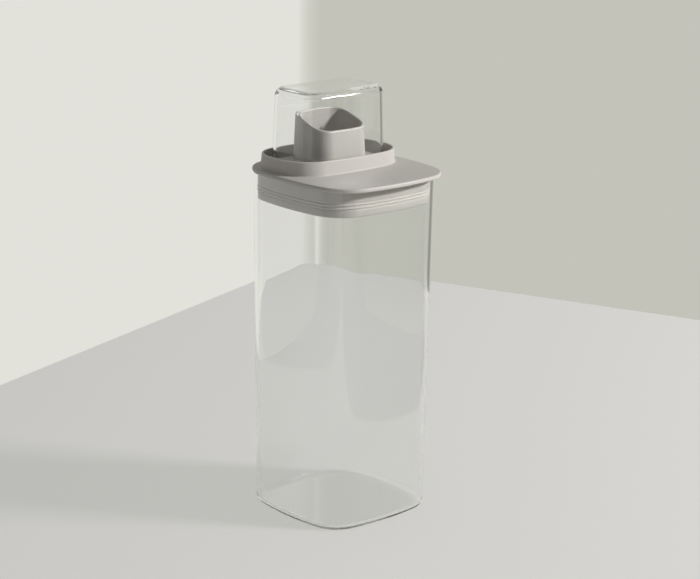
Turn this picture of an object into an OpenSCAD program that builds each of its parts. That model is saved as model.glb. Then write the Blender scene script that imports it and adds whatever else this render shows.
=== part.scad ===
// Tall clear keeper for dry food: a rounded-square jar, a lid that plugs into its mouth,
// a pour spout on the lid and a clear measuring cap that covers the spout.
// Lengths are in millimetres. The jar stands on z = 0 and its axis is the z axis.
// The free end of the lid plate points to -Y, the collar and the spout sit towards +Y.

/* [Jar] */
// Height of the jar, from the table to its rim
jar_height = 235; // [150:1:320]
// Width across the flats at the rim
jar_width = 104; // [92:1:130]
// How far each side leans in from the rim to the base
jar_draft = 2.6; // [0.5:0.1:5]
// Radius of the jar's upright corners at the rim
jar_corner_r = 25; // [16:0.5:32]
// Radius of the slight bulge of the four sides
jar_side_r = 195; // [140:5:600]
// Thickness of the side walls
jar_wall = 2; // [1.4:0.1:3]
// Thickness of the floor
jar_floor = 2; // [1.6:0.1:6]
// Round of the outer bottom edge
foot_round = 4; // [2:0.1:6]
// Round between the floor and the walls, inside
floor_round = 3; // [2:0.1:8]

/* [Lid plate] */
// Thickness of the plate
plate_thick = 2.9; // [2:0.1:5]
// How far the plate stands past the jar at the back and at the sides
plate_overhang = 1.2; // [0.6:0.1:4]
// How far the plate stands past the jar at the front, where fingers lift it
finger_overhang = 6.5; // [3:0.1:14]
// Round of the plate's top edge
plate_round = 1.2; // [0.4:0.1:1.3]

/* [Collar] */
// Height of the collar above the plate
collar_height = 9.6; // [6:0.1:16]
// Width of the collar, front to back
collar_width = 60.2; // [50:0.1:70]
// Thickness of the collar's wall
collar_wall = 1.8; // [1.2:0.1:3]
// Radius of the collar's corners
collar_corner_r = 23.5; // [12:0.5:26]
// Radius of the slight bulge of the collar's sides
collar_side_r = 210; // [140:5:600]
// Distance from the collar to the sides of the plate
collar_side_inset = 6.2; // [3:0.1:12]
// Distance from the collar to the back edge of the plate
collar_back_inset = 7.1; // [3:0.1:14]
// How much wider the collar is at its foot than at its rim, on each side
collar_flare = 0.7; // [0.2:0.1:1.5]

/* [Plug] */
// How far the plug reaches down into the jar
plug_depth = 18; // [13:0.5:26]
// Thickness of the plug's skirt behind the gasket groove
plug_wall = 2.2; // [1.4:0.1:3.5]
// Thickness of the plug's web, under the plate
plug_web = 2.4; // [1.6:0.1:4]
// Gap between the foot of the plug and the wall of the jar
plug_clear = 0.7; // [0.5:0.05:1.5]

/* [Gasket] */
// Distance from the rim of the jar down to the gasket
gasket_drop = 8.2; // [4:0.1:9]
// Height of the gasket
gasket_height = 4.8; // [3:0.1:6]
// Depth of the groove that holds the gasket
gasket_depth = 2; // [1.2:0.1:3]
// Gap between the gasket's lips and the wall of the jar
lip_clear = 0.3; // [0.2:0.05:0.5]

/* [Measuring cap] */
// Height of the cap
cap_height = 53.6; // [44:0.1:70]
// Thickness of the cap
cap_wall = 1.8; // [1.2:0.1:2.6]
// How far each side leans in from the rim to the roof
cap_draft = 1.9; // [0.5:0.1:4]
// Radius of the cap's corners at the rim
cap_corner_r = 13; // [8:0.1:14]
// Radius of the slight bulge of the cap's sides
cap_side_r = 480; // [200:10:900]
// Round of the edge of the roof
roof_round = 5.6; // [2.4:0.1:7]
// Gap between the collar and the cap at the two ends
cap_end_gap = 8.2; // [4:0.1:11]
// Gap between the collar and the cap along the two sides
cap_side_gap = 4.5; // [2.5:0.1:6]

/* [Pour spout] */
// Height of the middle of the mouth above the plate
spout_height = 31.1; // [22:0.1:40]
// Tilt of the mouth, lowest at the front
mouth_tilt = 17; // [0:0.5:24]
// Thickness of the spout's wall
spout_wall = 1.8; // [1.2:0.1:2.6]
// Radius of the spout's corners
spout_corner_r = 10.7; // [7:0.1:12]
// Radius of the slight bulge of the spout's sides
spout_side_r = 220; // [120:5:600]
// How much wider the spout is at its foot than at its mouth, on each side
spout_flare = 1.2; // [0.3:0.1:2]
// Width of the step around the spout's foot at the two ends
step_end = 11.6; // [6:0.1:15]
// Width of the step around the spout's foot along the two sides
step_side = 3.2; // [2.6:0.1:6]
// How far the spout stands forward of the middle of the collar
spout_forward = 1; // [0:0.1:1.6]
// Height of the step around the spout's foot
step_height = 4; // [3:0.1:7]
// Gap between the step and the inside of the cap
step_clear = 1; // [0.6:0.05:1.5]
// Gap between the spout's neck and the hole in the lid
neck_clear = 0.2; // [0.1:0.05:0.4]

/* [Cap seal] */
// Height of the seal ring around the step
seal_height = 1.8; // [1.2:0.1:2]
// Depth of the groove that holds the seal ring
seal_depth = 1.2; // [0.8:0.1:2]
// Gap between the seal ring and the inside of the cap
seal_clear = 0.3; // [0.2:0.05:0.5]

/* [Hidden] */

clear_tint = [0.93, 0.95, 0.95, 0.35];
lid_grey = [0.76, 0.74, 0.71];
seal_grey = [0.80, 0.79, 0.77];

// Segments of half a side and of a corner in every outline
side_steps = 3;
corner_steps = 8;
// Round of the thin rims: jar, collar, spout and cap
rim_round = 0.6;
// Round of small moulded edges
edge_round = 0.8;
// How far the gasket's face lies behind the plug's
gasket_sink = 0.3;
// Where the gasket's two lips sit, as shares of its height from the top
lip_places = [0.27, 0.73];
// Height of a lip at its root and at its tip
lip_root = 1.4;
lip_tip = 0.35;
// Height of the narrow face of the cap seal
seal_tip = 0.45;
// Gap between a seal's inner face and the bottom of its groove
groove_clear = 0.15;
// How far the end of the spout's neck shows below the plug's web
neck_end = 0.8;

// An outline is [half length along X, half width along Y, side radius, corner radius]
jar_top = [jar_width / 2, jar_width / 2, jar_side_r, jar_corner_r];

// The plate is the jar's outline grown by its overhang and stretched at the front
plate_half_x = jar_width / 2 + plate_overhang;
plate_back = jar_width / 2 + plate_overhang;
plate_front = jar_width / 2 + finger_overhang;
plate_size = [plate_half_x, (plate_back + plate_front) / 2, jar_side_r, jar_corner_r + plate_overhang];
plate_y = (plate_back - plate_front) / 2;
plate_bottom = jar_height;
plate_top = plate_bottom + plate_thick;

collar_size = [plate_half_x - collar_side_inset, collar_width / 2, collar_side_r, collar_corner_r];
collar_y = plate_back - collar_back_inset - collar_width / 2;
collar_inside = inset(collar_size, collar_wall);

cap_rim = [collar_inside[0] - cap_end_gap, collar_inside[1] - cap_side_gap, cap_side_r, cap_corner_r];
cap_inside = inset(cap_rim, cap_wall);

step_size = inset(cap_inside, step_clear);
spout_foot = [step_size[0] - step_end, step_size[1] - step_side, spout_side_r, spout_corner_r + spout_flare];
spout_mouth = inset(spout_foot, spout_flare);
spout_y = collar_y - spout_forward;
step_top = plate_top + step_height;
mouth_z = plate_top + spout_height;
mouth_slope = tan(mouth_tilt);
neck_bottom = plate_bottom - plug_web - neck_end;
neck_hole = inset(spout_foot, -neck_clear);

// The jar narrows downwards, so the plug and the lips are measured where they sit
function jar_lean(z) = jar_draft * (jar_height - z) / jar_height;
gasket_top = plate_bottom - gasket_drop;
gasket_bottom = gasket_top - gasket_height;
plug_bottom = plate_bottom - plug_depth;
plug_size = inset(jar_top, jar_wall + jar_lean(plug_bottom) + plug_clear);
lip_reach = plug_clear - lip_clear + jar_lean(plug_bottom) - jar_lean(gasket_bottom);

seal_bottom = plate_top + (step_height - seal_height) / 2;
seal_top = seal_bottom + seal_height;

function inset(size, d) = [for (v = size) v - d];

// One quarter of an outline: half a side, a corner and half the next side, as arcs that meet smoothly
function quarter(size) =
    let (hx = size[0], hy = size[1], side_r = size[2], corner_r = size[3])
    let (c1 = [hx - side_r, 0], c2 = [0, hy - side_r], d = c2 - c1, span = norm(d))
    let (rise = sqrt(pow(side_r - corner_r, 2) - span * span / 4))
    let (corner = (c1 + c2) / 2 + rise * [-d[1], d[0]] / span)
    let (a1 = atan2(corner[1], corner[0] - c1[0]), a2 = atan2(corner[1] - c2[1], corner[0]))
    concat(
        [for (i = [0 : side_steps - 1]) c1 + side_r * heading(a1 * i / side_steps)],
        [for (i = [0 : corner_steps - 1]) corner + corner_r * heading(a1 + (a2 - a1) * i / corner_steps)],
        [for (i = [0 : side_steps]) c2 + side_r * heading(a2 + (90 - a2) * i / side_steps)]
    );

function heading(a) = [cos(a), sin(a)];

// The whole outline, counter-clockwise, from its four mirrored quarters
function outline(size) =
    let (q = quarter(size), n = len(q) - 1)
    concat(
        [for (i = [0 : n - 1]) q[i]],
        [for (i = [n : -1 : 1]) [-q[i][0], q[i][1]]],
        [for (i = [0 : n - 1]) [-q[i][0], -q[i][1]]],
        [for (i = [n : -1 : 1]) [q[i][0], -q[i][1]]]
    );

// A ring is an outline at a height, on a plane that rises by slope along Y
function ring(size, z, y = 0, slope = 0) = [for (p = outline(size)) [p[0], p[1] + y, z + slope * p[1]]];

// Rings of one outline along a path of [inset, height] points
function rings(size, path, y = 0, slope = 0) = [for (p = path) ring(inset(size, p[0]), p[1], y, slope)];

// Part of a round as [inset, height] points: 0 faces outwards, 90 up, 180 inwards
function round_path(d, z, r, from, to, steps = 3) =
    [for (i = [0 : steps]) let (a = from + (to - from) * i / steps) [d - r * cos(a), z + r * sin(a)]];

// A path on the inside or outside of a drafted wall: each point moves in by the lean at its height
function leaned(path, draft, low, high) =
    [for (p = path) [p[0] + draft * (p[1] - low) / (high - low), p[1]]];

// Skins rings into a solid. The rings run down the outside and up the inside.
// An open one closes with flat ends, otherwise the last ring joins the first.
module skin(loops, open_ends = false) {
    n = len(loops[0]);
    m = len(loops);
    last = open_ends ? m - 2 : m - 1;
    walls = [for (k = [0 : last], i = [0 : n - 1])
        let (j = (i + 1) % n, below = (k + 1) % m)
        each [[k * n + i, k * n + j, below * n + j], [k * n + i, below * n + j, below * n + i]]];
    ends = open_ends ? [[for (i = [n - 1 : -1 : 0]) i], [for (i = [0 : n - 1]) (m - 1) * n + i]] : [];
    polyhedron(points = [for (r = loops) each r], faces = concat(walls, ends), convexity = 8);
}

// Clear jar: thin drafted walls, a flat floor and a rounded foot
module jar_body() {
    rim_z = jar_height - rim_round;
    turn = jar_wall + floor_round;
    path = concat(
        round_path(rim_round, rim_z, rim_round, 90, 0),
        round_path(foot_round, foot_round, foot_round, 0, -90, 5)
    );
    inside = concat(
        round_path(turn, jar_floor + floor_round, floor_round, -90, 0, 5),
        round_path(jar_wall - rim_round, rim_z, rim_round, 180, 90)
    );
    color(clear_tint)
    skin(rings(jar_top, leaned(concat(inside, path), jar_draft, jar_height, 0)), true);
}

// Plate that overhangs the jar, with the collar standing on it and the hole for the spout's neck
module lid_top() {
    edge = concat(
        round_path(plate_round, plate_top - plate_round, plate_round, 90, 0),
        round_path(edge_round, plate_bottom + edge_round, edge_round, 0, -90)
    );
    rim_z = plate_top + collar_height - rim_round;
    collar_out = concat(
        round_path(rim_round, rim_z, rim_round, 90, 0),
        [[-collar_flare, plate_top + edge_round], [-collar_flare - edge_round / 2, plate_top]]
    );
    collar_in = concat(
        [[collar_wall + edge_round, plate_top], [collar_wall, plate_top + edge_round]],
        round_path(collar_wall - rim_round, rim_z, rim_round, 180, 90)
    );
    hole = [[0, plate_bottom], [0, plate_top]];
    color(lid_grey)
    skin(concat(
        rings(collar_size, collar_out, collar_y),
        rings(plate_size, edge, plate_y),
        rings(neck_hole, hole, spout_y),
        rings(collar_size, collar_in, collar_y)
    ));
}

// Plug under the plate: a skirt with the gasket groove, closed above by a web
module lid_plug() {
    back = gasket_depth + plug_wall;
    skirt = concat(
        [[0, plate_bottom], [0, gasket_top], [gasket_depth, gasket_top]],
        [[gasket_depth, gasket_bottom], [0, gasket_bottom]],
        round_path(edge_round, plug_bottom + edge_round, edge_round, 0, -90),
        round_path(back - edge_round, plug_bottom + edge_round, edge_round, -90, -180),
        round_path(back + edge_round, plate_bottom - plug_web - edge_round, edge_round, 0, 90)
    );
    hole = [[0, plate_bottom - plug_web], [0, plate_bottom]];
    color(lid_grey)
    skin(concat(rings(plug_size, skirt), rings(neck_hole, hole, spout_y)));
}

// One lip of the gasket, around its middle height
function lip_path(z) = [
    [gasket_sink, z + lip_root / 2],
    [-lip_reach, z + lip_tip / 2],
    [-lip_reach, z - lip_tip / 2],
    [gasket_sink, z - lip_root / 2]
];

// Soft ring in the plug's groove, with two lips that reach towards the wall of the jar
module lid_gasket() {
    back = gasket_depth - groove_clear;
    profile = concat(
        [[gasket_sink, gasket_top]],
        [for (share = lip_places) each lip_path(gasket_top - gasket_height * share)],
        [[gasket_sink, gasket_bottom], [back, gasket_bottom], [back, gasket_top]]
    );
    color(seal_grey)
    skin(rings(plug_size, profile));
}

// Oblong tube with a slanted mouth, a step that the cap closes on and a neck through the lid
module pour_spout() {
    lip_r = spout_wall / 2;
    mouth_out = round_path(lip_r, mouth_z - lip_r, lip_r, 90, 0);
    mouth_in = round_path(lip_r, mouth_z - lip_r, lip_r, 180, 120, 2);
    foot = [[0, step_top + edge_round], [-edge_round, step_top]];
    step = concat(
        round_path(edge_round, step_top - edge_round, edge_round, 90, 0),
        [[0, seal_top], [seal_depth, seal_top], [seal_depth, seal_bottom], [0, seal_bottom], [0, plate_top]]
    );
    neck = [[0, plate_top], [0, neck_bottom], [spout_wall, neck_bottom], [spout_wall, step_top]];
    color(lid_grey)
    skin(concat(
        rings(spout_mouth, mouth_out, spout_y, mouth_slope),
        rings(spout_foot, foot, spout_y),
        rings(step_size, step, collar_y),
        rings(spout_foot, neck, spout_y),
        rings(spout_mouth, mouth_in, spout_y, mouth_slope)
    ));
}

// Soft ring in the groove of the step, which the cap slides over
module cap_seal() {
    reach = step_clear - seal_clear;
    mid = (seal_top + seal_bottom) / 2;
    profile = [
        [0, seal_top],
        [-reach, mid + seal_tip / 2],
        [-reach, mid - seal_tip / 2],
        [0, seal_bottom],
        [seal_depth - groove_clear, seal_bottom],
        [seal_depth - groove_clear, seal_top]
    ];
    color(seal_grey)
    skin(rings(step_size, profile, collar_y));
}

// Clear cup turned upside down over the spout, standing on the plate inside the collar
module measuring_cap() {
    roof_z = plate_top + cap_height;
    inner_r = roof_round - cap_wall;
    outside = concat(
        round_path(roof_round, roof_z - roof_round, roof_round, 90, 0, 5),
        round_path(rim_round, plate_top + rim_round, rim_round, 0, -90)
    );
    inside = concat(
        round_path(cap_wall - rim_round, plate_top + rim_round, rim_round, -90, -180),
        round_path(roof_round, roof_z - roof_round, inner_r, 0, 90, 4)
    );
    color(clear_tint)
    skin(rings(cap_rim, leaned(concat(outside, inside), cap_draft, plate_top, roof_z), collar_y), true);
}

jar_body();
lid_top();
lid_plug();
lid_gasket();
pour_spout();
cap_seal();
measuring_cap();
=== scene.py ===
"""Looks of a tall clear keeper for dry food: jar, plug-in lid, pour spout and measuring cap.

Everything is in metres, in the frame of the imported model. The jar stands on z = 0 around the z axis, the
free end of the lid plate points to -Y, and the collar and the spout sit towards +Y.
"""

import bpy
import numpy as np
from mathutils import Matrix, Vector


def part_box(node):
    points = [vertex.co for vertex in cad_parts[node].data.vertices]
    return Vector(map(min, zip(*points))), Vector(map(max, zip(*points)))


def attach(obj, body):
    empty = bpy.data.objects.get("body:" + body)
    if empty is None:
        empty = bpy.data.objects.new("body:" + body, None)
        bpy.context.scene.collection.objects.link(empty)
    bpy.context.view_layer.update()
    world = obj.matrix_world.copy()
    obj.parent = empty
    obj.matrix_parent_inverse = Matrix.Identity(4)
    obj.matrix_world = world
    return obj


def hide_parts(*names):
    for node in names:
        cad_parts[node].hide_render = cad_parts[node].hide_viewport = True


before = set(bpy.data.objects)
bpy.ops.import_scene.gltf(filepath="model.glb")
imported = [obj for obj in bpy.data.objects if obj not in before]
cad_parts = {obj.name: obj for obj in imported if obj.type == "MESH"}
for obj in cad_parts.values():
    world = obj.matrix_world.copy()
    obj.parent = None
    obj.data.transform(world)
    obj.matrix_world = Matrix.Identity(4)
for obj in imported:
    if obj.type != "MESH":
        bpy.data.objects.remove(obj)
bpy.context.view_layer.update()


# Camera
# The photograph is taken from a little above, along one corner of the jar, and the camera is slightly rolled.
# The foot of the jar's axis lies off the middle of the view, and its distance is measured along the view.
view_turn, view_tilt, view_roll = np.radians([41.435, 15.696, -0.844])
view_distance = 1.4477
foot_in_view = [-0.0075, -0.1474]
sensor_width = 36.0
lens_length = 106.34

level_right = np.array([np.cos(view_turn), -np.sin(view_turn), 0.0])
ahead = np.array([
    np.sin(view_turn) * np.cos(view_tilt),
    np.cos(view_turn) * np.cos(view_tilt),
    -np.sin(view_tilt),
])
level_up = np.cross(level_right, ahead)
view_right = np.cos(view_roll) * level_right - np.sin(view_roll) * level_up
view_up = np.sin(view_roll) * level_right + np.cos(view_roll) * level_up
camera_place = -foot_in_view[0] * view_right - foot_in_view[1] * view_up - view_distance * ahead

camera_data = bpy.data.cameras.new("camera")
camera_data.sensor_width = sensor_width
camera_data.lens = lens_length
camera = bpy.data.objects.new("camera", camera_data)
bpy.context.scene.collection.objects.link(camera)
camera_axes = Matrix(np.column_stack([view_right, view_up, -ahead]).tolist())
camera.matrix_world = Matrix.Translation(camera_place.tolist()) @ camera_axes.to_4x4()
bpy.context.scene.camera = camera


# Jar
# One clear moulding, about two litres: thin walls that lean in towards the base, sides that bulge a little,
# a flat floor and a rounded foot. It is injection moulded, so its faces are polished but not quite even.
jar_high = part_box("jar_body")[1]
jar_height = jar_high.z
jar_draft = 0.0026
jar_wall = 0.0020
jar_floor = 0.0020
jar_rim_round = 0.0006
jar_foot_round = 0.0040
jar_floor_round = 0.0030
jar_side_r = 0.195
jar_corner_r = 0.025
jar_size = [jar_high.x, jar_high.y, jar_side_r, jar_corner_r]


def outline(half_x, half_y, side_r, corner_r, side_steps=20, corner_steps=22):
    """A rounded square or oblong seen from above: its points and outward directions, as complex numbers.

    One quarter is half a side, a corner and half the next side. Each side is an arc of side_r about a centre
    on an axis, and the corner is an arc of corner_r whose centre lies side_r - corner_r from both of those,
    so the arcs meet smoothly. The quarter is mirrored once and turned once to make the whole.
    """
    about_x = half_x - side_r + 0j
    about_y = (half_y - side_r) * 1j
    apart = about_y - about_x
    rise = np.sqrt((side_r - corner_r) ** 2 - abs(apart) ** 2 / 4)
    corner = (about_x + about_y) / 2 + rise * 1j * apart / abs(apart)
    start, stop = np.angle(corner - about_x), np.angle(corner - about_y)
    angles = np.concatenate([
        np.linspace(0, start, side_steps, endpoint=False),
        np.linspace(start, stop, corner_steps, endpoint=False),
        np.linspace(stop, np.pi / 2, side_steps + 1),
    ])
    counts = [side_steps, corner_steps, side_steps + 1]
    facing = np.exp(1j * angles)
    centres = np.repeat([about_x, corner, about_y], counts)
    quarter = centres + np.repeat([side_r, corner_r, side_r], counts) * facing
    half = [np.concatenate([part, -np.conj(part[-2::-1])])[:-1] for part in (quarter, facing)]
    return [np.concatenate([part, -part]) for part in half]


def rings(size, profile, y=0.0, slope=0.0):
    """Carries a profile round an outline, as a grid of points: a row for each profile point [inset, height].

    Each point of the outline moves in along its own outward direction by the inset, and up to the height. A
    slope tilts the row: its height grows by slope for each metre along Y from the outline's middle.
    """
    points, facing = outline(*size)
    inset, height = np.transpose(profile)
    row = points[None, :] - inset[:, None] * facing[None, :]
    return np.stack([row.real, row.imag + y, height[:, None] + slope * row.imag], axis=-1)


def turn(inset, height, radius, start, stop, steps=8):
    """Part of a round in a profile: radius about a centre, where 0 degrees faces out, 90 up and 180 in."""
    a = np.radians(np.linspace(start, stop, steps + 1))
    return np.stack([inset - radius * np.cos(a), height + radius * np.sin(a)], axis=-1)


def straight(start, stop, steps=16):
    """Points on the way from one profile point to the next, or rows on the way from one ring to the next.

    They lie closer together near both ends, so that the shading of a straight wall stays flat.
    """
    share = (1 - np.cos(np.linspace(0, np.pi, steps + 1))) / 2
    return np.add(start, np.multiply.outer(share[1:-1], np.subtract(stop, start)))


def leaned(profile, draft, low, high):
    """Moves each profile point in by the wall's lean at its height: nothing at low, draft at high."""
    lean = draft * (profile[:, 1] - low) / (high - low)
    return profile + np.stack([lean, 0 * lean], axis=-1)


def skin(name, grid, closed_ring=True):
    """Makes a mesh piece from a grid whose rows run down the outside of a wall and up its inside.

    Four-sided faces join each row to the next. In a closed ring the last row joins the first. Otherwise each
    end row is closed by a ring a little nearer to its middle and a fan to the middle, which keep it flat.
    """
    closer_share = 0.04
    sharp_angle = np.radians(38)
    rows, columns = grid.shape[:2]
    points = grid.reshape(-1, 3)
    if not closed_ring:
        middles = [grid[0].mean(0), grid[-1].mean(0)]
        ends = zip((grid[0], grid[-1]), middles)
        closers = [edge + closer_share * (middle - edge) for edge, middle in ends]
        points = np.concatenate([closers[0], points, closers[1], middles])
        rows += 2
    row = np.arange(rows if closed_ring else rows - 1)[:, None]
    column = np.arange(columns)[None, :]
    below, beside = (row + 1) % rows, (column + 1) % columns
    quads = np.stack([row * columns + column, row * columns + beside,
                      below * columns + beside, below * columns + column], axis=-1).reshape(-1, 4)
    faces = quads[:, ::-1].tolist()
    if not closed_ring:
        first, last = np.arange(columns), (rows - 1) * columns + np.arange(columns)
        faces += np.stack([first, np.roll(first, -1), np.full(columns, rows * columns)], axis=-1).tolist()
        faces += np.stack([np.roll(last, -1), last, np.full(columns, rows * columns + 1)], axis=-1).tolist()
    mesh = bpy.data.meshes.new(name)
    mesh.from_pydata(points.tolist(), [], faces)
    mesh.polygons.foreach_set("use_smooth", np.ones(len(mesh.polygons), dtype=bool))
    mesh.set_sharp_from_angle(angle=sharp_angle)
    mesh.update()
    piece = bpy.data.objects.new(name, mesh)
    bpy.context.scene.collection.objects.link(piece)
    return piece


class Wire:
    """A shader socket that arithmetic can be written on. Each operator adds its Math node."""

    def __init__(self, tree, socket=None):
        self.tree = tree
        self.socket = socket

    def node(self, kind, settings=None, output=0, **values):
        """Adds a node of that kind, sets its settings, then its sockets by name or by number as in_0."""
        made = self.tree.nodes.new("ShaderNode" + kind)
        for name, value in (settings or {}).items():
            setattr(made, name, value)
        for name, value in values.items():
            key = int(name[3:]) if name.startswith("in_") else name.replace("_", " ")
            if isinstance(value, Wire):
                self.tree.links.new(value.socket, made.inputs[key])
            else:
                made.inputs[key].default_value = value
        return Wire(self.tree, made.outputs[output] if len(made.outputs) else None)

    def math(self, operation, first, second):
        return self.node("Math", {"operation": operation}, in_0=first, in_1=second)

    def __add__(self, other):
        return self.math("ADD", self, other)

    def __radd__(self, other):
        return self.math("ADD", other, self)

    def __sub__(self, other):
        return self.math("SUBTRACT", self, other)

    def __rsub__(self, other):
        return self.math("SUBTRACT", other, self)

    def __mul__(self, other):
        return self.math("MULTIPLY", self, other)

    def __rmul__(self, other):
        return self.math("MULTIPLY", other, self)


def new_material(name):
    """An empty material, and the wire that its nodes are drawn from."""
    material = bpy.data.materials.new(name)
    material.use_nodes = True
    material.node_tree.nodes.clear()
    return material, Wire(material.node_tree)


def shown(red, green, blue):
    """The colour that appears on a screen as these numbers from 0 to 255, as Blender's linear colour."""
    share = np.array([red, green, blue]) / 255
    linear = np.where(share < 0.04045, share / 12.92, ((share + 0.055) / 1.055) ** 2.4)
    return [*linear.tolist(), 1.0]


def clear_plastic(name, flow_size):
    """Polished clear plastic. Its faces wave a little, as the melt flowed, and its gloss is not quite even.

    Lamplight and light off the matt pieces pass straight through, with a small loss at each face.
    """
    material, draw = new_material(name)
    place = draw.node("TexCoord", output="Object")
    flow = draw.node("TexNoise", {"noise_dimensions": "3D"}, Vector=place, Scale=1 / flow_size, Detail=1.0)
    smear = draw.node("TexNoise", {"noise_dimensions": "3D"}, Vector=place, Scale=60.0, Detail=3.0)
    waves = draw.node("Bump", Height=flow, Strength=1.0, Distance=0.00004)
    glass = draw.node(
        "BsdfPrincipled",
        Base_Color=[0.985, 0.988, 0.985, 1.0],
        Roughness=0.02 * smear,
        IOR=1.52,
        Transmission_Weight=1.0,
        Normal=waves,
    )
    straight_on = draw.node("BsdfTransparent", Color=[0.945, 0.95, 0.945, 1.0])
    off_matt = draw.node("LightPath", output="Is Diffuse Ray")
    to_lamp = draw.node("LightPath", output="Is Shadow Ray")
    seen = draw.node("MixShader", in_0=off_matt, in_1=glass, in_2=straight_on)
    draw.node("OutputMaterial", Surface=draw.node("MixShader", in_0=to_lamp, in_1=seen, in_2=straight_on))
    return material


jar_outside = np.concatenate([
    turn(jar_rim_round, jar_height - jar_rim_round, jar_rim_round, 90, 0),
    straight([0, jar_height - jar_rim_round], [0, jar_foot_round], steps=40),
    turn(jar_foot_round, jar_foot_round, jar_foot_round, 0, -90, steps=12),
])
jar_turn = jar_wall + jar_floor_round
jar_inside = np.concatenate([
    turn(jar_turn, jar_floor + jar_floor_round, jar_floor_round, -90, 0, steps=12),
    straight([jar_wall, jar_floor + jar_floor_round], [jar_wall, jar_height - jar_rim_round], steps=40),
    turn(jar_wall - jar_rim_round, jar_height - jar_rim_round, jar_rim_round, 180, 90),
])
jar_profile = leaned(np.concatenate([jar_inside, jar_outside]), jar_draft, jar_height, 0)
jar = skin("clear_jar_shell", rings(jar_size, jar_profile), closed_ring=False)
jar.data.materials.append(clear_plastic("clear_jar_plastic", 0.030))
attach(jar, "jar")
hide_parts("jar_body")


# Lid plug
# The part of the lid that goes down into the jar: a skirt with a groove around it, closed above by a web and
# pierced for the spout's neck. Moulded in the same warm grey as the lid, and welded under its plate.
plug_low, plug_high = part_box("lid_plug")
ring_low, ring_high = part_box("lid_gasket")
spout_low, spout_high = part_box("pour_spout")
plate_bottom = plug_high.z
plug_wall = 0.0022
plug_web = 0.0024
groove_depth = 0.0020
groove_edge = 0.0003
moulded_edge = 0.0008
neck_clear = 0.0002
step_end = 0.0116
step_side = 0.0032
step_side_r = 0.4772
step_corner_r = 0.0102
spout_forward = 0.0010
foot_side_r = 0.2200
foot_corner_r = 0.0119
plug_size = [length - (jar_high.x - plug_high.x) for length in jar_size]
collar_y = (spout_low.y + spout_high.y) / 2
step_size = [spout_high.x, spout_high.y - collar_y, step_side_r, step_corner_r]
spout_y = collar_y - spout_forward
spout_foot = [step_size[0] - step_end, step_size[1] - step_side, foot_side_r, foot_corner_r]
neck_hole = [length + neck_clear for length in spout_foot]


def moulded_plastic(name, colour, grain_size=0.0004, grain_depth=0.000012, gloss=0.42):
    """Moulded plastic with a fine spark-eroded texture: its gloss and its colour are not quite even.

    Roughness is gloss plus a tenth of a slow noise. The colour goes a little darker where that noise is low.
    """
    material, draw = new_material(name)
    place = draw.node("TexCoord", output="Object")
    cloud = draw.node("TexNoise", Vector=place, Scale=45.0, Detail=3.0)
    grain = draw.node("TexNoise", Vector=place, Scale=1 / grain_size, Detail=2.0)
    darker = [0.96 * channel for channel in colour[:3]] + [1.0]
    tint = draw.node("Mix", {"data_type": "RGBA"}, output=2, in_0=cloud, in_6=darker, in_7=colour)
    surface = draw.node(
        "BsdfPrincipled",
        Base_Color=tint,
        Roughness=gloss + 0.1 * cloud,
        IOR=1.49,
        Normal=draw.node("Bump", Height=grain, Strength=1.0, Distance=grain_depth),
    )
    draw.node("OutputMaterial", Surface=surface)
    return material


lid_grey = moulded_plastic("lid_grey_plastic", shown(188, 184, 178))
groove_top, groove_bottom = ring_high.z, ring_low.z
plug_foot = plug_low.z
skirt_back = groove_depth + plug_wall
web_under = plate_bottom - plug_web
plug_profile = np.concatenate([
    [[0, plate_bottom]],
    straight([0, plate_bottom], [0, groove_top + groove_edge], steps=8),
    turn(groove_edge, groove_top + groove_edge, groove_edge, 0, -90, steps=4),
    [[groove_depth, groove_top], [groove_depth, groove_bottom]],
    turn(groove_edge, groove_bottom - groove_edge, groove_edge, 90, 0, steps=4),
    turn(moulded_edge, plug_foot + moulded_edge, moulded_edge, 0, -90),
    turn(skirt_back - moulded_edge, plug_foot + moulded_edge, moulded_edge, -90, -180),
    straight([skirt_back, plug_foot + moulded_edge], [skirt_back, web_under - moulded_edge], steps=12),
    turn(skirt_back + moulded_edge, web_under - moulded_edge, moulded_edge, 0, 90),
])
plug_hole = np.array([[0, web_under], [0, plate_bottom]])
plug = skin("lid_plug_skirt", np.concatenate([
    rings(plug_size, plug_profile),
    rings(neck_hole, plug_hole, spout_y),
]))
plug.data.materials.append(lid_grey)
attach(plug, "lid")
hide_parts("lid_plug")


# Gasket
# A soft silicone ring pressed into the plug's groove. Two thin lips reach to the wall of the jar and hold
# the lid by suction and rub. Moulded, then sprung over the skirt.
lip_places = [0.27, 0.73]
lip_root = 0.0014
lip_tip_r = 0.00022
face_behind = 0.0003
groove_gap = 0.00015
lip_reach = ring_high.x - plug_high.x


def soft_rubber(name, colour):
    """Soft silicone: dull, a little see-through, with a faint bloom that makes its gloss uneven."""
    material, draw = new_material(name)
    place = draw.node("TexCoord", output="Object")
    bloom = draw.node("TexNoise", Vector=place, Scale=180.0, Detail=4.0)
    surface = draw.node(
        "BsdfPrincipled",
        Base_Color=colour,
        Roughness=0.45 + 0.2 * bloom,
        IOR=1.41,
        Subsurface_Weight=0.15,
        Subsurface_Radius=[0.002, 0.002, 0.0018],
        Subsurface_Scale=1.0,
        Normal=draw.node("Bump", Height=bloom, Strength=0.6, Distance=0.00002),
    )
    draw.node("OutputMaterial", Surface=surface)
    return material


def lip(z):
    """One lip of the gasket around its middle height: from the ring's face out to a round tip and back."""
    return np.concatenate([
        [[face_behind, z + lip_root / 2]],
        turn(lip_tip_r - lip_reach, z, lip_tip_r, 70, -70, steps=6),
        [[face_behind, z - lip_root / 2]],
    ])


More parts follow.
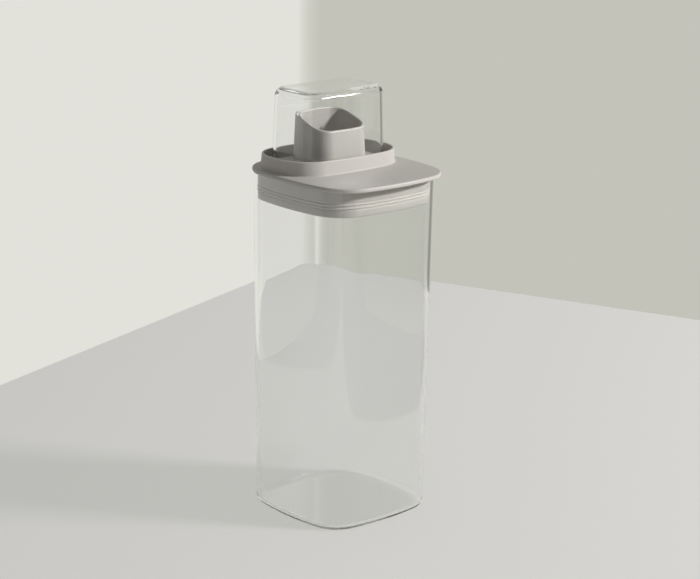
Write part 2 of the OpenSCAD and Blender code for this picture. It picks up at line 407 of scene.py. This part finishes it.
silicone = soft_rubber("seal_silicone", shown(200, 196, 190))
ring_tall = groove_top - groove_bottom
gasket_profile = np.concatenate([
    [[face_behind, groove_top]],
    *[lip(groove_top - ring_tall * share) for share in lip_places],
    [[face_behind, groove_bottom]],
    [[groove_depth - groove_gap, groove_bottom], [groove_depth - groove_gap, groove_top]],
])
gasket = skin("lid_gasket_ring", rings(plug_size, gasket_profile))
gasket.data.materials.append(silicone)
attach(gasket, "lid")
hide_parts("lid_gasket")


# Lid plate and collar
# One moulding: a thin plate that overhangs the jar, most at the front, where fingers lift it, and an oblong
# collar that stands on it. Its visible edges are rounded in the mould.
lid_low, lid_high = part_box("lid_top")
collar_side_inset = 0.0062
collar_half_y = 0.0301
collar_side_r = 0.210
collar_corner_r = 0.0235
collar_wall = 0.0018
collar_flare = 0.0007
collar_rim_round = 0.0006
plate_thick = 0.0029
plate_edge_round = 0.0012
plate_side_r = 0.195
plate_corner_r = 0.0262
plate_top = plate_bottom + plate_thick
plate_size = [lid_high.x, (lid_high.y - lid_low.y) / 2, plate_side_r, plate_corner_r]
plate_y = (lid_high.y + lid_low.y) / 2
collar_size = [lid_high.x - collar_side_inset, collar_half_y, collar_side_r, collar_corner_r]
collar_rim = lid_high.z - collar_rim_round

collar_outside = np.concatenate([
    turn(collar_rim_round, collar_rim, collar_rim_round, 90, 0),
    straight([0, collar_rim], [-collar_flare, plate_top + moulded_edge]),
    turn(-collar_flare - moulded_edge, plate_top + moulded_edge, moulded_edge, 180, 270),
])
plate_edge = np.concatenate([
    turn(plate_edge_round, plate_top - plate_edge_round, plate_edge_round, 90, 0),
    turn(moulded_edge, plate_bottom + moulded_edge, moulded_edge, 0, -90),
])
plate_hole = np.array([[0, plate_bottom], [0, plate_top]])
collar_inside = np.concatenate([
    turn(collar_wall + moulded_edge, plate_top + moulded_edge, moulded_edge, -90, 0),
    straight([collar_wall, plate_top + moulded_edge], [collar_wall, collar_rim]),
    turn(collar_wall - collar_rim_round, collar_rim, collar_rim_round, 180, 90),
])
lid = skin("lid_plate_collar", np.concatenate([
    rings(collar_size, collar_outside, collar_y),
    rings(plate_size, plate_edge, plate_y),
    rings(neck_hole, plate_hole, spout_y),
    rings(collar_size, collar_inside, collar_y),
]))
lid.data.materials.append(lid_grey)
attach(lid, "lid")
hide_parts("lid_top")


# Pour spout
# A fixed oblong tube whose mouth slants down to the front. Around its foot is a low step with a groove for
# the cap's seal, and below it a neck that is pressed through the lid. Moulded by itself.
spout_wall = 0.0018
spout_flare = 0.0012
step_height = 0.0040
mouth_tilt = np.radians(17)
mouth_slope = np.tan(mouth_tilt)
spout_mouth = [length - spout_flare for length in spout_foot]
mouth_z = spout_high.z - mouth_slope * (spout_mouth[1] - spout_wall / 2)
step_top = plate_top + step_height
neck_bottom = spout_low.z
cap_ring_low, cap_ring_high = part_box("cap_seal")
seal_groove = 0.0012

mouth_round = spout_wall / 2
mouth_middle = mouth_z - mouth_round
mouth_out_profile = turn(mouth_round, mouth_middle, mouth_round, 90, 0)
mouth_in_profile = turn(mouth_round, mouth_middle, mouth_round, 180, 100, steps=7)
mouth_outside = rings(spout_mouth, mouth_out_profile, spout_y, mouth_slope)
mouth_inside = rings(spout_mouth, mouth_in_profile, spout_y, mouth_slope)
foot_profile = turn(-moulded_edge, step_top + moulded_edge, moulded_edge, 180, 270)
foot = rings(spout_foot, foot_profile, spout_y)
step_profile = np.concatenate([
    turn(moulded_edge, step_top - moulded_edge, moulded_edge, 90, 0),
    [[0, cap_ring_high.z], [seal_groove, cap_ring_high.z]],
    [[seal_groove, cap_ring_low.z], [0, cap_ring_low.z], [0, plate_top]],
])
neck_profile = [[0, plate_top], [0, neck_bottom], [spout_wall, neck_bottom], [spout_wall, step_top]]
neck = rings(spout_foot, neck_profile, spout_y)
spout = skin("pour_spout_tube", np.concatenate([
    mouth_outside,
    straight(mouth_outside[-1], foot[0]),
    foot,
    rings(step_size, step_profile, collar_y),
    neck,
    straight(neck[-1], mouth_inside[0]),
    mouth_inside,
]))
spout.data.materials.append(lid_grey)
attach(spout, "lid")
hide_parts("pour_spout")


# Cap seal
# A thin silicone ring sprung into the groove of the step. The cap slides over it, and it keeps the food dry.
seal_reach = cap_ring_high.x - step_size[0]
seal_face = 0.00045
seal_middle = (cap_ring_low.z + cap_ring_high.z) / 2
cap_seal = skin("cap_seal_ring", rings(step_size, np.concatenate([
    [[0, cap_ring_high.z]],
    turn(seal_face / 2 - seal_reach, seal_middle, seal_face / 2, 60, -60, steps=6),
    [[0, cap_ring_low.z], [seal_groove - groove_gap, cap_ring_low.z]],
    [[seal_groove - groove_gap, cap_ring_high.z]],
]), collar_y))
cap_seal.data.materials.append(silicone)
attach(cap_seal, "lid")
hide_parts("cap_seal")


# Measuring cap
# A clear cup that stands upside down over the spout, with its rim on the plate inside the collar. It is
# moulded like the jar, with a generous round at the edge of its flat roof and a tighter one inside it.
cap_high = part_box("measuring_cap")[1]
cap_wall = 0.0018
cap_draft = 0.0019
cap_roof_round = 0.0056
cap_under_round = 0.0020
cap_rim_round = 0.0006
cap_side_r = 0.480
cap_corner_r = 0.0130
cap_size = [cap_high.x, cap_high.y - collar_y, cap_side_r, cap_corner_r]
cap_roof = cap_high.z
cap_under = cap_roof - cap_wall
cap_outside = np.concatenate([
    turn(cap_roof_round, cap_roof - cap_roof_round, cap_roof_round, 90, 0, steps=14),
    straight([0, cap_roof - cap_roof_round], [0, plate_top + cap_rim_round], steps=24),
    turn(cap_rim_round, plate_top + cap_rim_round, cap_rim_round, 0, -90),
])
cap_inside = np.concatenate([
    turn(cap_wall - cap_rim_round, plate_top + cap_rim_round, cap_rim_round, -90, -180),
    straight([cap_wall, plate_top + cap_rim_round], [cap_wall, cap_under - cap_under_round], steps=24),
    turn(cap_wall + cap_under_round, cap_under - cap_under_round, cap_under_round, 0, 90, steps=12),
])
cap_profile = leaned(np.concatenate([cap_outside, cap_inside]), cap_draft, plate_top, cap_roof)
cap = skin("clear_measuring_cap", rings(cap_size, cap_profile, collar_y), closed_ring=False)
cap.data.materials.append(clear_plastic("clear_cap_plastic", 0.020))
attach(cap, "cap")
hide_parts("measuring_cap")


# Floor, backdrop and light
# A plain pale floor, and behind it a sweep that shows only from its front: a painted lit tone on its left,
# a painted shaded tone on its right. Both are painted darker to the right for the object's gloss, a painted
# dark reflection. One soft oblong lamp stands far to the right of the view, and a weak even light comes from
# everywhere.
level_ahead = np.array([np.sin(view_turn), np.cos(view_turn), 0.0])
floor_half = 12.0
floor_drop = 0.0002
floor_tone = shown(236, 235, 231)


def plain_stage(name, points, faces, draw_surface):
    """A floor or a backdrop of flat faces, with the surface that draw_surface draws."""
    mesh = bpy.data.meshes.new(name)
    mesh.from_pydata(points, [], faces)
    mesh.polygons.foreach_set("use_smooth", np.ones(len(mesh.polygons), dtype=bool))
    piece = bpy.data.objects.new(name, mesh)
    bpy.context.scene.collection.objects.link(piece)
    material, draw = new_material(name)
    draw.node("OutputMaterial", Surface=draw_surface(draw))
    piece.data.materials.append(material)


def stage_place(draw):
    """Where a point of the stage lies to the right of the object and behind it, as the photograph looks."""
    place = draw.node("TexCoord", output="Object")
    x, y = [draw.node("SeparateXYZ", output=axis, Vector=place) for axis in "XY"]
    return [float(way[0]) * x + float(way[1]) * y for way in (level_right, level_ahead)]


def ramp(value, start, stop):
    """Goes evenly from 0 at start to 1 at stop, which may be the smaller of the two."""
    return value.node("MapRange", Value=value, From_Min=start, From_Max=stop)


def mirrored(draw):
    """1 for light that the object's gloss has turned on its way, and 0 for what is looked at directly."""
    return ramp(draw.node("LightPath", output="Glossy Depth"), 0, 1)


# How much darker gloss on the object meets the floor in two zones, a painted dark reflection, and the bands
# in which that sets in. The near zone lies past a line that faces this way, right of the object and not far
# behind it.
near_painted_darkening = 0.65
near_line_facing = [0.9585, -0.285]
near_line_band = [0.232, 0.242]
near_right_band = [0.120, 0.130]
near_behind_band = [0.26, 0.18]
far_painted_darkening = 0.3
far_right_band = [0.45, 0.60]


def floor_surface(draw):
    """Pale and matt. Gloss on the object meets it darker in a near and in a far zone to the right."""
    across, deep = stage_place(draw)
    past_line = near_line_facing[0] * across + near_line_facing[1] * deep
    # These zones are painted dark reflections: only the object's gloss sees the floor darker there.
    right = ramp(past_line, *near_line_band) * ramp(across, *near_right_band)
    near = near_painted_darkening * right * ramp(deep, *near_behind_band)
    far = far_painted_darkening * ramp(across, *far_right_band)
    pale = draw.node("BsdfDiffuse", Color=floor_tone)
    black = draw.node("BsdfDiffuse", Color=[0, 0, 0, 1])
    return draw.node("MixShader", in_0=mirrored(draw) * (near + far), in_1=pale, in_2=black)


floor_turns = [(-1, -1), (1, -1), (1, 1), (-1, 1)]
floor_corners = [(x * floor_half, y * floor_half, -floor_drop) for x, y in floor_turns]
plain_stage("floor", floor_corners, [(0, 1, 2, 3)], floor_surface)

# The backdrop's ends and its turn seen from above, its two tones, a painted lit tone on the left and a
# painted shaded tone on the right, and the band along X in which they change, and how much darker gloss on
# the object meets its right side, a painted dark reflection
sweep_left_end = [-0.85, 0.10]
sweep_turn = [0.393, 0.512]
sweep_right_end = [1.05, -1.11]
sweep_turn_r = 0.01
sweep_turn_points = 33
sweep_tall = 0.8
sweep_painted_lit_tone = shown(226, 226, 219)
sweep_painted_shade_tone = shown(195, 195, 185)
sweep_tone_band = [0.385, 0.4]
sweep_painted_gloss_darkening = 0.5
sweep_gloss_band = [0.20, 0.30]


def sweep_plan():
    """The backdrop seen from above: two straight runs joined by an arc of sweep_turn_r that touches both."""
    left, corner, right = [np.array(point) for point in (sweep_left_end, sweep_turn, sweep_right_end)]
    to_left, to_right = [(end - corner) / np.linalg.norm(end - corner) for end in (left, right)]
    half_angle = np.arccos(to_left @ to_right) / 2
    middle = (to_left + to_right) / np.linalg.norm(to_left + to_right)
    centre = corner + middle * sweep_turn_r / np.sin(half_angle)
    first = corner + to_left * sweep_turn_r / np.tan(half_angle) - centre
    last = corner + to_right * sweep_turn_r / np.tan(half_angle) - centre
    start, stop = np.arctan2(first[1], first[0]), np.arctan2(last[1], last[0])
    angles = np.linspace(start, stop, sweep_turn_points)
    arc = centre + sweep_turn_r * np.stack([np.cos(angles), np.sin(angles)], axis=-1)
    return np.concatenate([[left], arc, [right]])


def sweep_surface(draw):
    """Pale where the view, the gloss and the clear pieces meet it, and darker to the right for the gloss.

    From behind, and for other light, it is open.
    """
    rays = ("Camera", "Glossy", "Transmission")
    camera_ray, glossy_ray, clear_ray = [draw.node("LightPath", output="Is " + ray + " Ray") for ray in rays]
    met = camera_ray + glossy_ray + clear_ray
    place = draw.node("SeparateXYZ", output="X", Vector=draw.node("TexCoord", output="Object"))
    # Painted light and shade: the lit tone on the left side of the backdrop, the shaded tone on its right.
    side = ramp(place, *sweep_tone_band)
    tone = draw.node(
        "Mix", {"data_type": "RGBA"}, output=2, in_0=side, in_6=sweep_painted_lit_tone, in_7=sweep_painted_shade_tone,
    )
    # A painted dark reflection: gloss on the object meets the backdrop darker towards its right.
    painted_dark_gloss = sweep_painted_gloss_darkening * ramp(stage_place(draw)[0], *sweep_gloss_band)
    pale = draw.node("Emission", Color=tone, Strength=1 - mirrored(draw) * painted_dark_gloss)
    clear = draw.node("BsdfTransparent")
    front = draw.node("MixShader", in_0=met, in_1=clear, in_2=pale)
    behind = draw.node("NewGeometry", output="Backfacing")
    return draw.node("MixShader", in_0=behind, in_1=front, in_2=clear)


plan = sweep_plan()
sweep_points = [(x, y, z) for z in (-floor_drop, sweep_tall) for x, y in plan.tolist()]
count = len(plan)
sweep_faces = [(k, k + 1, k + 1 + count, k + count) for k in range(count - 1)]
plain_stage("backdrop", sweep_points, sweep_faces, sweep_surface)


def lamp(name, direction, distance, wide, tall, power):
    """A soft lamp, wide by tall, that looks at the middle of the object from a direction, at a distance."""
    data = bpy.data.lights.new(name, "AREA")
    data.shape = "RECTANGLE"
    data.size = wide
    data.size_y = tall
    data.energy = power
    piece = bpy.data.objects.new(name, data)
    bpy.context.scene.collection.objects.link(piece)
    back = np.asarray(direction) / np.linalg.norm(direction)
    side = np.cross([0, 0, 1], back)
    side /= np.linalg.norm(side)
    axes = Matrix(np.column_stack([side, np.cross(back, side), back]).tolist())
    middle = np.array([0, 0, jar_height / 2])
    piece.matrix_world = Matrix.Translation((middle + distance * back).tolist()) @ axes.to_4x4()


# The key lamp stands to the right of the view, turned a little towards the camera, and raised
key_rise, key_turn = np.radians([26, 7.5])
key_level = np.cos(key_turn) * level_right - np.sin(key_turn) * level_ahead
key_direction = np.cos(key_rise) * key_level + np.sin(key_rise) * np.array([0, 0, 1])
lamp("key_lamp", key_direction, distance=6.0, wide=1.15, tall=0.45, power=415)

# The even light is white where it falls on something, and grey where it is looked at
even_strength = 0.23
even_tone = shown(178, 180, 184)
world = bpy.data.worlds.new("even_light")
bpy.context.scene.world = world
world.use_nodes = True
world.node_tree.nodes.clear()
sky = Wire(world.node_tree)
sky_rays = ("Camera", "Transmission")
sky_camera, sky_clear = [sky.node("LightPath", output="Is " + ray + " Ray") for ray in sky_rays]
light = sky.node("Background", Color=[1, 1, 1, 1], Strength=even_strength)
looked_at = sky.node("Background", Color=even_tone, Strength=1.0)
sky_mix = sky.node("MixShader", in_0=sky_camera + sky_clear, in_1=light, in_2=looked_at)
sky.node("OutputWorld", Surface=sky_mix)

# Light bends many times on its way along a clear wall, so more turns are followed than by default
bpy.context.scene.cycles.max_bounces = 160
bpy.context.scene.cycles.transmission_bounces = 32
bpy.context.scene.cycles.glossy_bounces = 48
bpy.context.scene.cycles.transparent_max_bounces = 32
bpy.context.scene.view_settings.view_transform = "Standard"
